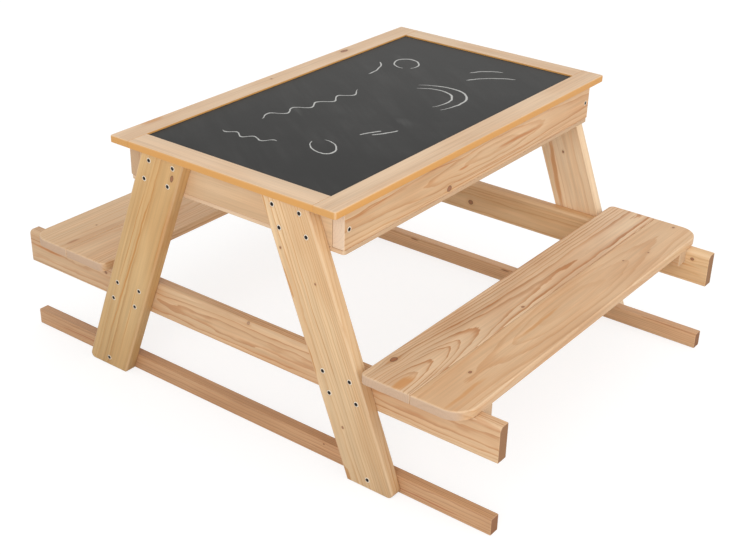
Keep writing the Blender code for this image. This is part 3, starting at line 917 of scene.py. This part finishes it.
def screw_steel():
    """Dark screw heads with a painted pale highlight on the rim and painted black shade in the
    recess.
    """
    metallic = 0.15
    material, tree, shader = new_material("dark zinc of the screws")
    grime = wire(tree, "TexCoord", output="Object").noise(*GRIME_NOISE)
    # The mesh's mask places the painted shade of the recess and the painted highlight of the rim
    depth = wear_and_light_of(tree)
    colour = mix(tree, grime.ramp(*GRIME_EDGE), linear(*SCREW_WARM), linear(*SCREW_DARK))
    # Painted shade: the cross recess is coloured near black
    colour = mix(tree, depth.ramp(*RECESS_SHADE_EDGE), linear(*SCREW_RECESS_SHADE), colour)
    # Painted highlight: the head's outer rim is coloured near white
    colour = mix(tree, depth.ramp(*RIM_HIGHLIGHT_EDGE), colour, linear(*SCREW_RIM_HIGHLIGHT))
    shader.inputs["Metallic"].default_value = metallic
    dress(tree, shader, colour, grime.ramp(*GRIME_ROUGH), grime, *STEEL_BUMP)
    return material


def screw_head_mesh(name, place, outward, turn):
    """A countersunk head with a cross recess, on a grid of rings and spokes.

    The height over a ring's point falls where the point lies in either arm of a cross,
    and more so near the middle, so the recess tapers like a real one. The rim rolls
    over to a cone below the face.
    """
    angle = np.arange(HEAD_SPOKES) * 2 * math.pi / HEAD_SPOKES
    radius, around = np.meshgrid(HEAD_RINGS * HEAD_RADIUS, angle + turn, indexing="ij")
    first = np.abs(radius * np.cos(around - turn))
    second = np.abs(radius * np.sin(around - turn))
    reach = np.maximum(first, second)
    in_arm = np.clip((CROSS_HALF_WIDTH - np.minimum(first, second)) / CROSS_WALL + 0.5, 0, 1)
    inside = in_arm * np.clip((CROSS_HALF_LENGTH - reach) / CROSS_END_WALL, 0, 1)
    depth = inside * CROSS_DEPTH * np.clip(
        CROSS_MIDDLE_SHARE - reach / CROSS_TAPER, CROSS_END_SHARE, 1)
    height = -HEAD_FALL[:, None] - depth
    points = radius[..., None] * spokes(outward, around) + height[..., None] * outward
    faces = [face[::-1] for face in tube_faces(len(HEAD_RINGS), HEAD_SPOKES)]
    mesh = new_mesh(name, (place + points).reshape(-1, 3), faces)
    # Mask of painted light: 0 in the recess for painted shade, a half on the plain head, 1 on
    # the rim for a painted highlight
    rim_highlight = np.clip((radius / HEAD_RADIUS - RIM_HIGHLIGHT_FROM) / RIM_HIGHLIGHT_FADE, 0, 1)
    shade = (1 - inside) * (0.5 + 0.5 * rim_highlight)
    return wear_light_and_mend(mesh, shade, lambda shape: bmesh.ops.recalc_face_normals(
        shape, faces=shape.faces))


def build_screws():
    """A cross-head screw in each hole of the legs and the tray sides."""
    steel = screw_steel()
    for end, end_sign in ENDS:
        for side, _ in SIDES:
            places = leg_hole_places(end, side)
            places[:, 1] -= end_sign * HEAD_SINK
            for number, place in enumerate(places):
                name = "screw_%s_%s_%d" % (end, side, number + 1)
                cad_node = [name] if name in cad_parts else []
                turn = number * HEAD_TURN_STEP + place[0] * HEAD_TURN_BY_PLACE
                mesh = screw_head_mesh(name, place, np.array([0.0, end_sign, 0.0]), turn)
                finish_piece("cross_head_" + name, mesh, steel, "frame", cad_node)
    for side, sign in SIDES:
        for number, place in enumerate(tray_hole_places(side)):
            place[0] -= sign * HEAD_SINK
            name = "cross_head_tray_%s_%s" % (side, ENDS[number][0])
            mesh = screw_head_mesh(name, place, np.array([sign, 0.0, 0.0]), 0.5 + number)
            finish_piece(name, mesh, steel, "frame", ())


# Chalk on the board


def mark_frame(tree, source):
    """Return the place in a chalk mark's own frame, from the mark's centre and turn."""
    return wire(tree, "VectorRotate", {
        "Vector": source["Point"].vector("SUBTRACT", source["Centre"]),
        "Angle": source["Turn"] * -1.0}, rotation_type="Z_AXIS")


def chalk_stroke_group():
    """One bowed or wavy stroke: a stretch of a parabola, plus a sine, whose ends taper.

    In the stroke's own turned frame its line is the bow times the square of the place
    along it plus a wave, and the mark fades with the distance from that line.
    """
    thinnest = 0.4
    tree, source, result = new_group(
        "chalk stroke",
        "V Point, V Centre, F Turn, F Half Length, F Bow, F Width, V Waves",
        "F Mark")
    x, y, _ = mark_frame(tree, source).parts()
    along = x / source["Half Length"]
    square = along * along
    height, count, _ = source["Waves"].parts()
    line = square * source["Bow"] + (along * count).calc("SINE") * height
    gap = (y - line).calc("ABSOLUTE")
    width = source["Width"] * (square.ramp(*STROKE_TAPER) * (1 - thinnest) + thinnest)
    edge = (gap / width).ramp(*CHALK_LINE_EDGE)
    feed(tree, result["Mark"], edge * square.ramp(*STROKE_STOP))
    return tree


def chalk_loop_group():
    """One open loop: a stretch of an ellipse either side of its own X axis.

    The place is divided by the two radii. Its length less one says how far it is from
    the line, and its angle says whether the hand had already lifted the chalk.
    """
    tree, source, result = new_group(
        "chalk loop",
        "V Point, V Centre, F Turn, V Radii, F Open, F Width",
        "F Mark")
    x, y, _ = mark_frame(tree, source).vector("DIVIDE", source["Radii"]).parts()
    reach = join(x, y, 0.0).vector("LENGTH")
    angle = y.calc("ARCTAN2", x).calc("ABSOLUTE")
    radius_x, radius_y, _ = source["Radii"].parts()
    gap = (reach - 1.0).calc("ABSOLUTE") * ((radius_x + radius_y) * 0.5)
    share = angle / source["Open"]
    edge = (gap / (source["Width"] * share.ramp(*LOOP_TAPER))).ramp(*CHALK_LINE_EDGE)
    feed(tree, result["Mark"], edge * share.ramp(*LOOP_STOP))
    return tree


# Each loop's centre, turn, radii, half opening and half width, then each stroke's centre,
# turn, half length, bow, half width, wave height and count, in a free layout
CHALK_LOOPS = (
    ((0.035, 0.075), 0.9, (0.105, 0.075), 1.25, 0.0024),
    ((0.030, 0.070), 0.9, (0.085, 0.058), 1.2, 0.0022),
    ((-0.095, 0.235), 2.2, (0.030, 0.026), 2.85, 0.0022),
    ((0.060, -0.225), -0.6, (0.034, 0.022), 2.6, 0.0021),
)
CHALK_STROKES = (
    ((-0.085, -0.075), 1.35, 0.120, 0.008, 0.0023, 0.009, 14.0),
    ((0.085, 0.270), 0.75, 0.050, -0.010, 0.0021, 0.0, 1.0),
    ((0.055, 0.300), 0.75, 0.034, -0.008, 0.0020, 0.0, 1.0),
    ((-0.120, 0.175), 1.9, 0.040, 0.010, 0.0020, 0.0, 1.0),
    ((0.105, -0.105), 1.1, 0.026, 0.003, 0.0022, 0.0, 1.0),
    ((0.082, -0.120), 1.1, 0.022, -0.002, 0.0021, 0.0, 1.0),
    ((-0.070, -0.275), 0.15, 0.055, 0.006, 0.0021, 0.006, 9.0),
)

# Each wiped patch's centre and radius
CHALK_SMUDGES = (
    (0.03, 0.17, 0.05), (-0.09, -0.12, 0.07), (-0.12, 0.27, 0.09), (0.10, -0.05, 0.06))


def chalkboard_paint():
    """Matt dark grey board paint with wiped chalk haze and loose chalk strokes.

    The chalk haze times wiping marks, plus a painted sheen as a slope that grows to the far left
    corner, gives the grey film.
    The hand's tremble is a small shift of the place by noise.
    """
    tremble, tremble_scale = 0.006, 38.0
    wipe_angle, wipe_scale = 0.6, (6.0, 45.0, 1.0)
    haze_share, slant, tooth_height, specular = 0.6, 0.7, 0.4, 0.4
    dust_and_sheen_share, chalk_share, chalk_rough = 0.28, 0.9, 0.25
    material, tree, shader = new_material("chalkboard paint")
    place = wire(tree, "TexCoord", output="Object")
    hand = place.vector("ADD", place.scatter(tremble, tremble_scale))
    loop_group = chalk_loop_group()
    stroke_group = chalk_stroke_group()
    marks = 0.0
    for (x, y), turn, (radius_x, radius_y), opening, width in CHALK_LOOPS:
        marks = wire(tree, "Group", {
            "Point": hand, "Centre": (x, y, 0), "Turn": turn, "Radii": (radius_x, radius_y, 1),
            "Open": opening, "Width": width}, node_tree=loop_group).calc("MAXIMUM", marks)
    for (x, y), turn, half_length, bow, width, wave, count in CHALK_STROKES:
        marks = wire(tree, "Group", {
            "Point": hand, "Centre": (x, y, 0), "Turn": turn, "Half Length": half_length,
            "Bow": bow, "Width": width, "Waves": (wave, count, 0)},
            node_tree=stroke_group).calc("MAXIMUM", marks)
    smudge = 0.0
    x, y, _ = place.parts()
    for smudge_x, smudge_y, reach in CHALK_SMUDGES:
        away = join(x - smudge_x, y - smudge_y, 0.0).vector("LENGTH")
        smudge = away.ramp(reach, 0.0).calc("MAXIMUM", smudge)
    wiped = wire(tree, "VectorRotate", {"Vector": place, "Angle": wipe_angle},
                 rotation_type="Z_AXIS").stretched_noise(wipe_scale, 3.0)
    haze = place.noise(*HAZE_NOISE)
    tooth = place.noise(*TOOTH_NOISE)
    dust_and_sheen = haze.ramp(*HAZE_EDGE) * wiped.ramp(*WIPE_EDGE)
    # Painted sheen: the board is coloured paler towards its far left corner
    dust_and_sheen = dust_and_sheen * haze_share + (y - x * slant).ramp(*FAR_CORNER_SHEEN)
    dust_and_sheen = dust_and_sheen.calc("MAXIMUM", smudge * wiped.ramp(*SMUDGE_EDGE)) * tooth.ramp(*TOOTH_EDGE)
    colour = mix(tree, dust_and_sheen * dust_and_sheen_share, linear(*BOARD_PAINT), linear(*CHALK_DUST_AND_SHEEN))
    chalk = marks * place.noise(*CRUMB_NOISE).ramp(*CRUMB_EDGE)
    colour = mix(tree, chalk * chalk_share, colour, linear(*CHALK_WHITE))
    rough = haze.ramp(*HAZE_ROUGH) + chalk * chalk_rough
    shader.inputs["Specular IOR Level"].default_value = specular
    dress(tree, shader, colour, rough, tooth * tooth_height + chalk, *PAINT_BUMP)
    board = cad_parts["chalkboard"]
    board.data.materials.clear()
    board.data.materials.append(material)


# Each board's own pine, with the colours of its early and late wood
PALE = dict(early=(226, 196, 163), late=(200, 148, 98))
HONEY = dict(early=(221, 187, 147), late=(190, 130, 74))
BROWN = dict(early=(204, 161, 120), late=(160, 102, 58))
ALONG_TABLE = dict(along=Y_AXIS, face=Z_AXIS)
# The lid's end and side faces get a deeper orange: painted shade on its edges
LID = PALE | dict(end=(216, 160, 92), side=(216, 157, 84), side_share=1.0)
SEAT = ALONG_TABLE | dict(end=(202, 170, 142))
# Beam and rail end faces get a darker brown end colour: painted shade
BEAM = dict(along=X_AXIS, end=(152, 108, 70))
RAIL = dict(along=X_AXIS, ring=0.004, end=(146, 98, 62))

BOARDS = {
    "lid_side_rail_right": dict(
        LID | ALONG_TABLE, pith=(0.05, -0.05), ring=0.0055, contrast=0.45, fade=0.06),
    "lid_side_rail_left": dict(
        LID | ALONG_TABLE, pith=(-0.06, -0.03), ring=0.005, contrast=0.3,
        knots=((-0.0234, 0.0055, 0.0020, 1.0), (0.2089, 0.0076, 0.0045, 2.2)),
        streaks=((-0.334, 0.0156, 0.0, 0.03, 0.008, 0.0),), vein=(206, 152, 100)),
    "lid_end_rail_near": dict(
        LID, along=X_AXIS, face=Z_AXIS, pith=(0.08, -0.04), ring=0.0042, contrast=0.4),
    "lid_end_rail_far": dict(
        LID, along=X_AXIS, face=Z_AXIS, pith=(-0.03, -0.06), ring=0.006, contrast=0.25),
    "tray_side_right": dict(
        HONEY, along=Y_AXIS, face=X_AXIS, pith=(0.006, -0.024), swell=(0.05, 0.22, 0.013),
        ring=0.0062, wave=0.012, contrast=1.0, fade=0.12, end=(232, 204, 176),
        knots=((-0.0992, -0.0248, 0.0050, 1.25),),
        streaks=((0.135, 0.0035, 0.0, 0.085, 0.0042, 0.002),
                 (-0.057, 0.0004, 0.02, 0.019, 0.0026, 0.0),
                 (-0.304, 0.0195, 0.076, 0.092, 0.0010, 0.002),
                 (-0.114, 0.0252, -0.079, 0.068, 0.0010, 0.001),
                 (0.02, -0.028, 0.004, 0.36, 0.0008, 0.002),
                 (0.05, -0.019, -0.004, 0.30, 0.0007, 0.002))),
    "tray_side_left": dict(
        BROWN, along=Y_AXIS, face=(-1, 0, 0), pith=(-0.01, -0.03), ring=0.005, lean=(0.0, 0.03),
        contrast=0.8),
    "tray_end_near": dict(
        along=X_AXIS, face=(0, -1, 0), pith=(0.02, -0.14), ring=0.009, contrast=0.25,
        early=(218, 186, 148), late=(196, 146, 96)),
    "tray_end_far": dict(
        HONEY, along=X_AXIS, face=(0, 1, 0), pith=(-0.02, -0.06), ring=0.006, contrast=0.6),
    "seat_right_board_inner": dict(
        SEAT, pith=(-0.017, -0.040), early=(228, 198, 162), late=(180, 115, 57), fade=0.12,
        swell=(-0.45, 0.22, 0.031), ring=0.0054, wave=0.005, contrast=1.15,
        knots=((-0.3583, 0.0335, 0.0048, 1.6), (-0.0669, -0.0377, 0.0026, 1.3)),
        streaks=((-0.41, -0.021, 0.0, 0.035, 0.012, 0.0),), vein=(200, 140, 80)),
    "seat_right_board_outer": dict(
        SEAT, pith=(0.004, -0.046), early=(219, 183, 143), late=(192, 134, 80), fade=0.06,
        swell=(0.02, 0.25, 0.022), ring=0.0085, wave=0.014, contrast=0.55,
        knots=((-0.3116, 0.0145, 0.0026, 1.4), (0.2768, -0.0111, 0.0016, 1.2),
               (0.2141, 0.0104, 0.0016, 1.2), (0.4134, 0.0018, 0.0024, 1.2)),
        streaks=((-0.37, -0.014, 0.0, 0.07, 0.0045, 0.01),
                 (-0.10, 0.012, 0.03, 0.09, 0.004, 0.008)), vein=(204, 150, 96)),
    "seat_left_board_inner": dict(
        HONEY | SEAT, pith=(0.02, -0.05), lean=(0.0, -0.02), ring=0.0045, contrast=0.75),
    "seat_left_board_outer": dict(
        HONEY | SEAT, pith=(-0.05, -0.05), ring=0.006, contrast=0.5,
        knots=((-0.3203, -0.0148, 0.0016, 1.0),),
        streaks=((-0.40, -0.035, 0.0, 0.018, 0.004, 0.0),), vein=(176, 122, 80)),
    "leg_near_right": dict(
        along=(-LEG_SPLAY, 0, LEG_RISE), face=(0, -1, 0), pith=(0.05, -0.05),
        early=(222, 190, 148), late=(186, 126, 62), lean=(0.02, 0.0), ring=0.0042, contrast=0.9,
        fade=0.46,
        knots=((0.1798, 0.0349, 0.0018, 1.2), (0.1128, -0.0182, 0.0016, 1.2),
               (-0.145, 0.0177, 0.0020, 1.3))),
    "leg_near_left": dict(
        along=(LEG_SPLAY, 0, LEG_RISE), face=(0, -1, 0), pith=(-0.020, -0.030),
        early=(210, 174, 122), late=(180, 126, 60), ring=0.0080, contrast=0.65, fade=0.42,
        knots=((0.2350, -0.0293, 0.0032, 2.0),),
        streaks=((0.03, 0.0085, -0.030, 0.235, 0.0024, 0.010),
                 (0.07, 0.0225, -0.024, 0.17, 0.0011, 0.006),
                 (0.117, -0.0425, 0.0, 0.10, 0.0036, 0.002),
                 (-0.12, -0.018, 0.01, 0.10, 0.0009, 0.004)), vein=(192, 132, 62)),
    # Colours painted paler than the wood: painted light that lifts the shade under the table
    "leg_far_right": dict(
        along=(-LEG_SPLAY, 0, LEG_RISE), face=(0, 1, 0), pith=(0.02, -0.06), ring=0.006,
        early=(243, 218, 184), late=(222, 176, 124), contrast=0.6,
        knots=((0.0929, 0.0039, 0.0020, 1.3),),
        streaks=((0.05, -0.026, 0.06, 0.11, 0.006, 0.012),), vein=(208, 150, 96)),
    "leg_far_left": dict(
        HONEY, along=(LEG_SPLAY, 0, LEG_RISE), face=(0, 1, 0), pith=(-0.01, -0.03),
        lean=(0.0, 0.03), ring=0.005, contrast=0.8),
    "seat_beam_near": dict(
        BEAM, face=(0, -1, 0), pith=(-0.002, -0.045), early=(217, 182, 142), late=(180, 118, 66),
        ring=0.0036, contrast=0.95, fade=0.06, lean=(0.01, 0.0),
        knots=((0.0296, 0.030, 0.0022, 1.4), (-0.335, 0.010, 0.0024, 1.4)),
        streaks=((-0.50, 0.004, -0.03, 0.05, 0.003, 0.002),)),
    "seat_beam_far": dict(
        BEAM, face=(0, 1, 0), pith=(0.01, -0.05), ring=0.005, early=(218, 182, 138),
        late=(186, 126, 66), contrast=0.7, fade=0.18,
        knots=((-0.0050, 0.0117, 0.0048, 1.15), (0.519, -0.0173, 0.003, 1.2)),
        streaks=((0.49, -0.002, 0.0, 0.05, 0.0022, 0.003),), vein=(206, 146, 88)),
    "ground_rail_near": dict(
        BROWN | RAIL, face=(0, -1, 0), pith=(0.03, -0.03), contrast=0.8,
        knots=((0.2029, 0.011, 0.0016, 1.2),),
        streaks=((-0.40, 0.0, 0.02, 0.10, 0.0016, 0.004),
                 (0.42, -0.006, 0.0, 0.08, 0.0014, 0.004)), vein=(172, 104, 62)),
    # Colours painted paler than the wood: painted light that lifts the shade under the table
    "ground_rail_far": dict(
        RAIL, face=(0, 1, 0), pith=(-0.03, -0.03), early=(224, 184, 142), late=(184, 126, 80),
        contrast=0.8,
        streaks=((-0.153, -0.012, 0.0, 0.012, 0.002, 0.0),
                 (0.094, -0.012, 0.0, 0.012, 0.002, 0.0)), vein=(140, 88, 54)),
    "tray_floor": dict(
        PALE, along=X_AXIS, face=Z_AXIS, pith=(0.0, -0.05), ring=0.004, contrast=0.5),
}
for end, end_sign in ENDS:
    BOARDS["lid_batten_" + end] = dict(
        HONEY, along=X_AXIS, face=(0, 0, -1), pith=(0.02, -0.03), ring=0.004)
    for side, _ in SIDES:
        BOARDS["seat_batten_%s_%s" % (end, side)] = dict(
            HONEY, along=X_AXIS, face=Z_AXIS, pith=(0.02 * end_sign, -0.03), ring=0.004)


def studio_floor():
    """A plain pale floor that the camera sees as white, less the table's shadow."""
    material, tree, shader = new_material("studio floor")
    seen = wire(tree, "LightPath", output="Is Camera Ray")
    feed(tree, shader.inputs["Base Color"], mix(tree, seen, FLOOR_BOUNCE, FLOOR_SEEN))
    shader.inputs["Roughness"].default_value = FLOOR_ROUGH
    shader.inputs["Emission Color"].default_value = WHITE
    feed(tree, shader.inputs["Emission Strength"], seen * FLOOR_GLOW)
    corners = rectangle((-FLOOR_HALF, -FLOOR_HALF), (FLOOR_HALF, FLOOR_HALF))
    mesh = new_mesh("studio_floor", [(x, y, FLOOR_LEVEL) for x, y in corners], [(0, 1, 2, 3)])
    mesh.materials.append(material)
    floor = show("studio_floor", mesh)


def studio_light():
    """Soft daylight from all round, with a broad key from the camera's left."""
    world = bpy.data.worlds.new("studio")
    bpy.context.scene.world = world
    world.use_nodes = True
    tree = world.node_tree
    path = node(tree, "LightPath").outputs
    seen = Wire(tree, path["Is Camera Ray"]).calc("MAXIMUM", path["Is Transmission Ray"])
    back = tree.nodes["Background"]
    back.inputs["Color"].default_value = WHITE
    feed(tree, back.inputs["Strength"], seen.ramp(0.0, 1.0, WORLD_LIGHT, 1.0, "LINEAR"))
    for name, place, size, power in LAMPS:
        lamp = bpy.data.lights.new(name, "AREA")
        lamp.energy = power
        lamp.shape = "DISK"
        lamp.size = size
        item = show(name, lamp)
        item.location = place
        aim = Vector(LAMP_AIM) - Vector(place)
        item.rotation_euler = aim.to_track_quat("-Z", "Y").to_euler()


def photo_camera():
    """The photograph's view: a long lens above the near right corner."""
    yaw, pitch, roll = CAMERA_YAW, CAMERA_PITCH, CAMERA_ROLL
    ahead = np.array([math.sin(yaw) * math.cos(pitch), math.cos(yaw) * math.cos(pitch),
                      -math.sin(pitch)])
    level = np.array([math.cos(yaw), -math.sin(yaw), 0.0])
    up = np.cross(level, ahead)
    right = math.cos(roll) * level + math.sin(roll) * up
    above = math.cos(roll) * up - math.sin(roll) * level
    camera = bpy.data.cameras.new("photo_camera")
    camera.lens = CAMERA_LENS
    camera.sensor_width = CAMERA_SENSOR
    camera.sensor_fit = "HORIZONTAL"
    camera.shift_x, camera.shift_y = CAMERA_SHIFT
    item = show("photo_camera", camera)
    turn = Matrix((right, above, -ahead)).transposed().to_4x4()
    item.matrix_world = Matrix.Translation(CAMERA_PLACE) @ turn
    bpy.context.scene.camera = item


build_lid()
build_tray()
build_legs()
build_cross_rails()
build_benches()
build_screws()
chalkboard_paint()
studio_floor()
studio_light()
photo_camera()
bpy.context.scene.view_settings.view_transform = "Standard"
